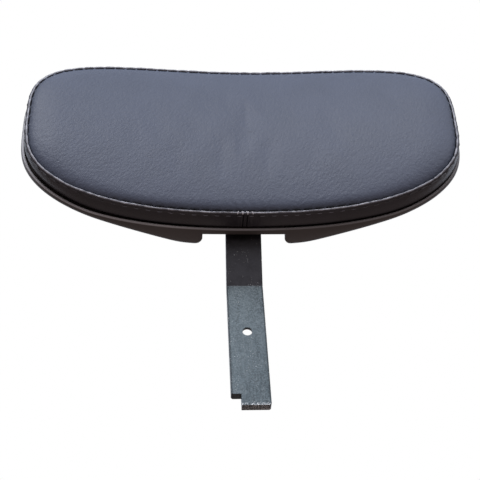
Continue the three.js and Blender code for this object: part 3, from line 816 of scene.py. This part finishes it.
class Material:
    """A node material with a Principled shader; node inputs take values or sockets."""

    def __init__(self, name):
        self.made = bpy.data.materials.new(name)
        self.made.use_nodes = True
        self.tree = self.made.node_tree
        self.shader = self.tree.nodes["Principled BSDF"]
        self.place = self.node("ShaderNodeTexCoord").outputs["Object"]

    def node(self, kind, **inputs):
        made = self.tree.nodes.new(kind)
        for key, value in inputs.items():
            if hasattr(made, key):
                setattr(made, key, value)
        for key, value in inputs.items():
            if not hasattr(made, key):
                self.feed(made.inputs[key.replace("_", " ")], value)
        return made

    def feed(self, socket, value):
        if isinstance(value, bpy.types.NodeSocket):
            self.tree.links.new(value, socket)
        else:
            socket.default_value = value

    def noise(self, scale, detail=3, roughness=0.55, vector=None):
        made = self.node(
            "ShaderNodeTexNoise", Scale=scale, Detail=detail, Roughness=roughness,
            Vector=vector or self.place,
        )
        return made.outputs["Fac"]

    def cells(self, scale, vector):
        """Distance to the edges of a pattern of cells."""
        made = self.node("ShaderNodeTexVoronoi", feature="DISTANCE_TO_EDGE", Scale=scale, Vector=vector)
        return made.outputs["Distance"]

    def warped(self, scale, amount):
        """The place, pushed about by noise."""
        noise = self.node("ShaderNodeTexNoise", Scale=scale, Detail=2.0, Vector=self.place)
        centred = self.node("ShaderNodeVectorMath", operation="SUBTRACT")
        self.feed(centred.inputs[0], noise.outputs["Color"])
        self.feed(centred.inputs[1], (0.5, 0.5, 0.5))
        scaled = self.node("ShaderNodeVectorMath", operation="SCALE")
        self.feed(scaled.inputs[0], centred.outputs[0])
        self.feed(scaled.inputs["Scale"], amount)
        moved = self.node("ShaderNodeVectorMath", operation="ADD")
        self.feed(moved.inputs[0], self.place)
        self.feed(moved.inputs[1], scaled.outputs[0])
        return moved.outputs[0]

    def math(self, operation, a, b=0.0, clamp=False):
        made = self.node("ShaderNodeMath", operation=operation, use_clamp=clamp)
        self.feed(made.inputs[0], a)
        self.feed(made.inputs[1], b)
        return made.outputs[0]

    def span(self, value, low, high, to_low=0.0, to_high=1.0):
        """Maps a value from low..high to to_low..to_high, smoothly and clamped."""
        made = self.node("ShaderNodeMapRange", interpolation_type="SMOOTHSTEP")
        for key, number in (("Value", value), ("From Min", low), ("From Max", high),
                            ("To Min", to_low), ("To Max", to_high)):
            self.feed(made.inputs[key], number)
        return made.outputs["Result"]

    def mix(self, factor, a, b):
        made = self.node("ShaderNodeMix", data_type="RGBA")
        self.feed(made.inputs["Factor"], factor)
        self.feed(made.inputs[6], a)
        self.feed(made.inputs[7], b)
        return made.outputs[2]

    def bump(self, height, distance, strength=1.0, normal=None):
        made = self.node("ShaderNodeBump", Height=height, Distance=distance, Strength=strength)
        if normal is not None:
            self.feed(made.inputs["Normal"], normal)
        return made.outputs["Normal"]

    def set(self, **inputs):
        for key, value in inputs.items():
            self.feed(self.shader.inputs[key.replace("_", " ")], value)
        return self


def rgb(red, green, blue):
    return (red, green, blue, 1.0)


GRAIN = {"lean": math.radians(35), "stretch": 1.75}  # of the pebbles, in the plane of the face


def leather(name, light, dark, gloss, grain=1.0, patches=38):
    """Pebbled leather: leaning pebbles about 2 by 4 mm, with finer cells and pores on them."""
    m = Material(name)
    leaning = m.node("ShaderNodeMapping", vector_type="TEXTURE", Vector=m.place,
                     Rotation=(0, GRAIN["lean"], 0), Scale=(1, 1, GRAIN["stretch"])).outputs[0]
    pebbles = m.noise(600, 2, 0.5, leaning)
    warped = m.warped(260, 0.0011)
    creases = m.span(m.cells(620, warped), 0.0, 0.16)
    pores = m.noise(2600, 2)
    broad = m.noise(patches, 3)
    tone = m.mix(m.span(broad, 0.35, 0.65), dark, light)
    colour = m.mix(m.span(creases, 0.0, 1.0, 0.25, 0.0), tone, dark)
    # Painted shade: the colour darkens to near-black, and the specular falls, by the piece's per-vertex value.
    painted_light = m.node("ShaderNodeAttribute", attribute_name="painted_light").outputs["Fac"]
    colour = m.mix(m.math("MULTIPLY", painted_light, 0.95), colour, rgb(0.005, 0.005, 0.008))
    patchy = m.span(broad, 0.3, 0.7, gloss - 0.015, gloss + 0.02)
    rough = m.math("ADD", patchy, m.span(pores, 0.3, 0.7, -0.03, 0.04))
    normal = m.bump(pores, 0.00004 * grain, 0.5)
    normal = m.bump(creases, 0.00005 * grain, 0.8, normal)
    normal = m.bump(pebbles, 0.00038 * grain, 0.8, normal)
    m.set(Base_Color=colour, Roughness=rough, Normal=normal,
          Specular_IOR_Level=m.span(painted_light, 0.0, 1.0, 0.5, 0.15))
    return m


THREAD_TWIST = 2400  # scale of the noise that stands for a thread's plies


def make_materials():
    """Every material, by the name of its slot or piece."""
    made = {}
    # Painted light: the face and the band are one black leather; the face's colour is set much lighter and bluer
    # than the band's, standing for its sheen.
    made["leather_face"] = leather(
        "black_leather_face_painted_sheen", rgb(0.101, 0.119, 0.173), rgb(0.093, 0.11, 0.16), 0.42)
    made["leather_band"] = leather(
        "black_leather_band", rgb(0.035, 0.032, 0.041), rgb(0.026, 0.023, 0.029), 0.4, 0.6)
    # Painted highlight: the fold is the same black leather, coloured light grey so the roll shows as a bright
    # line.
    made["seam_fold"] = leather(
        "black_leather_fold_painted_highlight", rgb(0.5, 0.51, 0.57), rgb(0.22, 0.225, 0.26), 0.3, 0.4, 260)

    m = Material("band_stitch_thread")
    twist = m.noise(THREAD_TWIST, 2)
    # Painted highlight: the thread is coloured lighter near the middle of the band and near-black out to the
    # sides.
    across = m.math("ABSOLUTE", m.node("ShaderNodeSeparateXYZ", Vector=m.place).outputs["X"])
    thread = m.mix(twist, rgb(0.1, 0.1, 0.125), rgb(0.26, 0.26, 0.31))
    thread = m.mix(m.span(across, 0.05, 0.12), thread, rgb(0.035, 0.035, 0.042))
    m.set(Base_Color=thread, Roughness=0.4, Normal=m.bump(twist, 0.0001, 0.6))
    made["band_thread"] = m

    m = Material("face_stitch_thread")
    twist = m.noise(THREAD_TWIST, 2)
    m.set(Base_Color=m.mix(twist, rgb(0.004, 0.004, 0.006), rgb(0.012, 0.012, 0.016)), Roughness=0.7,
          Specular_IOR_Level=0.15, Normal=m.bump(twist, 0.0001, 0.6))
    made["face_thread"] = m

    # Painted highlight: the tack's thread is coloured near-white, far lighter than the seam's near-black thread,
    # standing for its glints.
    m = Material("back_tack_thread_painted_highlight")
    twist = m.noise(THREAD_TWIST, 2)
    m.set(Base_Color=m.mix(twist, rgb(0.6, 0.6, 0.66), rgb(0.9, 0.9, 0.95)), Roughness=0.5,
          Normal=m.bump(twist, 0.0001, 0.6))
    made["tack"] = m

    m = Material("black_moulded_plastic")
    fine, broad = m.noise(1500, 2), m.noise(30, 3)
    tone = m.mix(m.span(broad, 0.3, 0.7), rgb(0.068, 0.058, 0.056), rgb(0.082, 0.071, 0.069))
    # Painted highlight: a light grey line along the rim's edge, stronger at the left than at the right.
    rim_highlight = m.node("ShaderNodeAttribute", attribute_name="painted_light").outputs["Fac"]
    to_right = m.node("ShaderNodeSeparateXYZ", Vector=m.place).outputs["X"]
    rim_highlight = m.math("MULTIPLY", rim_highlight, m.span(to_right, -0.11, 0.06, 0.9, 0.35))
    tone = m.mix(rim_highlight, tone, m.mix(broad, rgb(0.5, 0.5, 0.54), rgb(0.75, 0.76, 0.8)))
    m.set(Base_Color=tone, Roughness=m.span(broad, 0.3, 0.7, 0.42, 0.5),
          Normal=m.bump(fine, 0.00006, 0.5))
    made["shell_plastic"] = m

    made["stem_steel"] = stem_steel()

    m = Material("coated_weld")
    ripple = m.noise(900, 2)
    m.set(Base_Color=m.mix(ripple, rgb(0.03, 0.034, 0.038), rgb(0.1, 0.11, 0.12)), Metallic=0.5,
          Roughness=0.5, Normal=m.bump(ripple, 0.0004, 0.8))
    made["weld_steel"] = m

    m = Material("zinc_plated_steel")
    cloud, fine = m.noise(120, 4), m.noise(2200, 2)
    m.set(Base_Color=m.mix(cloud, rgb(0.38, 0.39, 0.4), rgb(0.56, 0.57, 0.58)), Metallic=1.0,
          Roughness=m.span(cloud, 0.3, 0.7, 0.28, 0.42), Normal=m.bump(fine, 0.00003, 0.5))
    made["zinc_steel"] = m

    m = Material("blackened_screw_steel")
    cloud = m.noise(500, 3)
    m.set(Base_Color=m.mix(cloud, rgb(0.02, 0.02, 0.022), rgb(0.06, 0.06, 0.065)), Metallic=0.7,
          Roughness=m.span(cloud, 0.3, 0.7, 0.35, 0.5), Normal=m.bump(cloud, 0.00003, 0.5))
    made["black_steel"] = m

    m = Material("natural_nylon")
    cloud = m.noise(400, 2)
    m.set(Base_Color=m.mix(cloud, rgb(0.55, 0.52, 0.44), rgb(0.66, 0.63, 0.56)), Roughness=0.45,
          Normal=m.bump(cloud, 0.00003, 0.5))
    made["nylon"] = m

    m = Material("black_board_plastic")
    fine, cloud = m.noise(1200, 2), m.noise(60, 2)
    m.set(Base_Color=m.mix(cloud, rgb(0.022, 0.02, 0.019), rgb(0.04, 0.037, 0.034)), Roughness=0.6,
          Normal=m.bump(fine, 0.00005, 0.5))
    made["board_plastic"] = m
    return {key: value.made for key, value in made.items()}


def stem_steel():
    """Coated bar: grey below the bend and near-black above it, painted light for the lit lower leg and the shaded
    upper leg; lighter towards the bend, streaked and chipped at its end.
    """
    m = Material("coated_stem_steel")
    apart = m.node("ShaderNodeSeparateXYZ", Vector=m.place)
    mottle = m.noise(210, 5, 0.65)
    streak_place = m.node("ShaderNodeVectorMath", operation="MULTIPLY")
    m.feed(streak_place.inputs[0], m.place)
    m.feed(streak_place.inputs[1], (1.0, 1.0, 0.16))
    streaks = m.noise(900, 3, 0.6, streak_place.outputs[0])
    specks = m.noise(1300, 2, 0.6)
    patches = m.span(m.noise(90, 2), 0.45, 0.6)
    near_end = m.span(apart.outputs["Z"], 0.0005, 0.003, 1.0, 0.0)
    near_side = m.span(m.math("ABSOLUTE", apart.outputs["X"]), 0.0118, 0.0125)
    chips = m.math("MAXIMUM", near_end, m.math("MULTIPLY", near_side, 0.6))
    threshold = m.math("SUBTRACT", 0.67, m.math("MULTIPLY", chips, 0.14))
    over = m.math("SUBTRACT", specks, threshold)
    worn = m.math("MULTIPLY", m.span(over, 0.0, 0.05), m.math("MAXIMUM", patches, near_end), True)
    pits = m.noise(1150, 3, 0.7)
    coat = m.mix(m.span(mottle, 0.35, 0.65), rgb(0.07, 0.088, 0.099), rgb(0.112, 0.137, 0.152))
    coat = m.mix(m.span(streaks, 0.4, 0.7, 0.0, 0.5), coat, rgb(0.15, 0.17, 0.18))
    # Lighter towards the bend.
    lighter_to_bend = m.span(apart.outputs["Z"], 0.0, STEM_LOWER, 0.0, 0.6)
    coat = m.mix(lighter_to_bend, coat, rgb(0.17, 0.2, 0.215))
    dark_patches = m.span(m.noise(70, 3, 0.6, streak_place.outputs[0]), 0.45, 0.62, 0.5, 0.85)
    pitted = m.math("MULTIPLY", m.span(pits, 0.42, 0.58, 1.0, 0.0), dark_patches)
    coat = m.mix(pitted, coat, rgb(0.04, 0.049, 0.055))
    across = m.math("ABSOLUTE", apart.outputs["X"])
    ragged = m.math("ADD", across, m.math("MULTIPLY", specks, 0.0022))
    coat = m.mix(m.span(ragged, 0.0121, 0.0132, 0.0, 0.75), coat, rgb(0.02, 0.024, 0.028))
    # Painted shade: the coat above the bend is made near-black.
    painted_shade_above_bend = m.mix(m.span(mottle, 0.3, 0.7), rgb(0.032, 0.031, 0.036), rgb(0.042, 0.041, 0.047))
    coat = m.mix(m.span(apart.outputs["Z"], STEM_LOWER - 0.0015, STEM_LOWER + 0.0005), coat, painted_shade_above_bend)
    normal = m.bump(specks, 0.00005, 0.5)
    normal = m.bump(mottle, 0.0001, 0.7, normal)
    normal = m.bump(pits, 0.00012, 0.6, normal)
    m.set(Base_Color=m.mix(worn, coat, rgb(0.75, 0.76, 0.77)),
          Metallic=m.span(worn, 0.0, 1.0, 0.75, 0.3),
          Roughness=m.span(mottle, 0.3, 0.7, 0.34, 0.46), Normal=normal)
    return m


def paint(piece, material):
    piece.data.materials.clear()
    piece.data.materials.append(material)


# ---------- CAD nodes that stay ----------


def dress_cad_nodes(materials):
    """Fine edges and the record's finish for every CAD node that is shown."""
    slots = {row["node"]: row["material_slot"] for row in frame["record"]["subparts"]}
    edge_width = {"stem_bar": 0.25 * MM, "hinge_bracket": 0.3 * MM}
    for name, piece in frame["nodes"].items():
        if slots[name] not in materials or piece.hide_render:
            continue
        paint(piece, materials[slots[name]])
        smooth_by_angle(piece, 28)
        bevel = piece.modifiers.new("edges", "BEVEL")
        bevel.width = edge_width.get(name, 0.12 * MM)
        bevel.segments = 2
        bevel.limit_method = "ANGLE"
        bevel.angle_limit = math.radians(38)


# ---------- stage ----------

SOFTBOX_REACH = 1.4
SOFTBOXES = [  # name, degrees to the left of the front, degrees up, size, watts, colour
    ("key", 16, 21, (0.9, 0.9), 9, (0.97, 0.98, 1.0)),
    ("fill", -30, 4, (0.9, 0.9), 3, (0.97, 0.98, 1.0)),
    ("top", 170, 65, (1.2, 0.8), 6, (1.0, 1.0, 1.0)),
]
LIGHT_ABOVE = (0.8, 0.86, 0.98)
LIGHT_BELOW = (0.22, 0.18, 0.17)
HORIZON = (-0.12, 0.45)  # the sines of elevation between which the one turns into the other

CAMERA = {
    "location": (-0.0428, -0.4769, -0.306),
    "elevation": 43.15,
    "azimuth": 5.0,
    "roll": -3.35,
    "lens": 67.5,
}


def aim(azimuth, elevation, roll=0.0):
    """The turn of a camera that looks along +Y at zero azimuth and elevation, in degrees."""
    turn = Matrix.Rotation(-math.radians(azimuth), 3, "Z")
    turn @= Matrix.Rotation(math.radians(90 + elevation), 3, "X")
    return turn @ Matrix.Rotation(math.radians(roll), 3, "Z")


def add_camera():
    camera = bpy.data.objects.new("camera", bpy.data.cameras.new("camera"))
    bpy.context.scene.collection.objects.link(camera)
    camera.data.lens = CAMERA["lens"]
    camera.data.sensor_width = 36.0
    camera.data.clip_start = 0.01
    turn = aim(CAMERA["azimuth"], CAMERA["elevation"], CAMERA["roll"])
    camera.matrix_world = Matrix.Translation(CAMERA["location"]) @ turn.to_4x4()
    bpy.context.scene.camera = camera


def add_softbox(name, location, target, size, power, colour):
    light = bpy.data.lights.new(name, "AREA")
    light.shape = "RECTANGLE"
    light.size, light.size_y = size
    light.energy = power
    light.color = colour
    lamp = bpy.data.objects.new(name, light)
    bpy.context.scene.collection.objects.link(lamp)
    lamp.location = location
    lamp.rotation_euler = (Vector(target) - Vector(location)).to_track_quat("-Z", "Y").to_euler()


def add_world():
    """White to the camera; to everything else bright and cool from above, dim and warm from below."""
    world = bpy.data.worlds.new("studio")
    bpy.context.scene.world = world
    world.use_nodes = True
    tree = world.node_tree
    tree.nodes.clear()

    def node(kind, **inputs):
        made = tree.nodes.new(kind)
        for key, value in inputs.items():
            if isinstance(value, bpy.types.NodeSocket):
                tree.links.new(value, made.inputs[key.replace("_", " ")])
            else:
                made.inputs[key.replace("_", " ")].default_value = value
        return made

    direction = node("ShaderNodeTexCoord").outputs["Generated"]
    height = node("ShaderNodeSeparateXYZ", Vector=direction).outputs["Z"]
    ramp = node("ShaderNodeMapRange", Value=height, From_Min=HORIZON[0], From_Max=HORIZON[1])
    ramp.interpolation_type = "SMOOTHSTEP"
    sky = node("ShaderNodeMix")
    sky.data_type = "RGBA"
    tree.links.new(ramp.outputs["Result"], sky.inputs["Factor"])
    sky.inputs[6].default_value = rgb(*LIGHT_BELOW)
    sky.inputs[7].default_value = rgb(*LIGHT_ABOVE)
    surround = node("ShaderNodeBackground", Color=sky.outputs[2])
    seen = node("ShaderNodeBackground", Color=rgb(1.0, 1.0, 1.0))
    choose = node("ShaderNodeMixShader")
    path = node("ShaderNodeLightPath").outputs["Is Camera Ray"]
    tree.links.new(path, choose.inputs[0])
    tree.links.new(surround.outputs[0], choose.inputs[1])
    tree.links.new(seen.outputs[0], choose.inputs[2])
    node("ShaderNodeOutputWorld", Surface=choose.outputs[0])


FLOOR = {"half": 14.0, "below": 0.62}


def add_stage():
    low, high = CAD_BOX
    middle = (low + high) / 2
    corners = [(x * FLOOR["half"], y * FLOOR["half"]) for x, y in ((-1, -1), (1, -1), (1, 1), (-1, 1))]
    level = low.z - FLOOR["below"]
    floor = make_object("floor", [(x, y, level) for x, y in corners], [(0, 1, 2, 3)])
    m = Material("pale_floor")
    cloud = m.noise(6, 2)
    m.set(Base_Color=m.mix(cloud, rgb(0.86, 0.83, 0.77), rgb(0.9, 0.87, 0.8)), Roughness=0.8)
    paint(floor, m.made)
    floor.visible_diffuse = False
    floor.visible_glossy = False
    for name, azimuth, elevation, size, power, colour in SOFTBOXES:
        turn = Matrix.Rotation(-math.radians(azimuth), 3, "Z")
        turn @= Matrix.Rotation(math.radians(-elevation), 3, "X")
        place = middle + turn @ Vector((0, -SOFTBOX_REACH, 0))
        add_softbox(name, place, middle, size, power, colour)
    add_world()
    bpy.context.scene.view_settings.view_transform = "Standard"


# ---------- assembly ----------


def main():
    materials = make_materials()
    add_camera()

    cushion = build_cushion()
    paint(cushion, materials["leather_face"])
    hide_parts("cover_face", "foam_core")

    band = build_band()
    paint(band, materials["leather_band"])
    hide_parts("cover_band")

    fold = build_fold()
    paint(fold, materials["seam_fold"])

    face_stitches = build_face_stitches()
    paint(face_stitches, materials["face_thread"])
    band_stitches = build_band_stitches()
    paint(band_stitches, materials["band_thread"])
    tack = build_back_tack()
    paint(tack, materials["tack"])

    shell = build_shell()
    paint(shell, materials["shell_plastic"])
    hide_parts("rear_shell")

    for piece in (cushion, band, fold, face_stitches, band_stitches, tack, shell):
        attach(piece, "pad")
    dress_cad_nodes(materials)
    add_stage()


main()
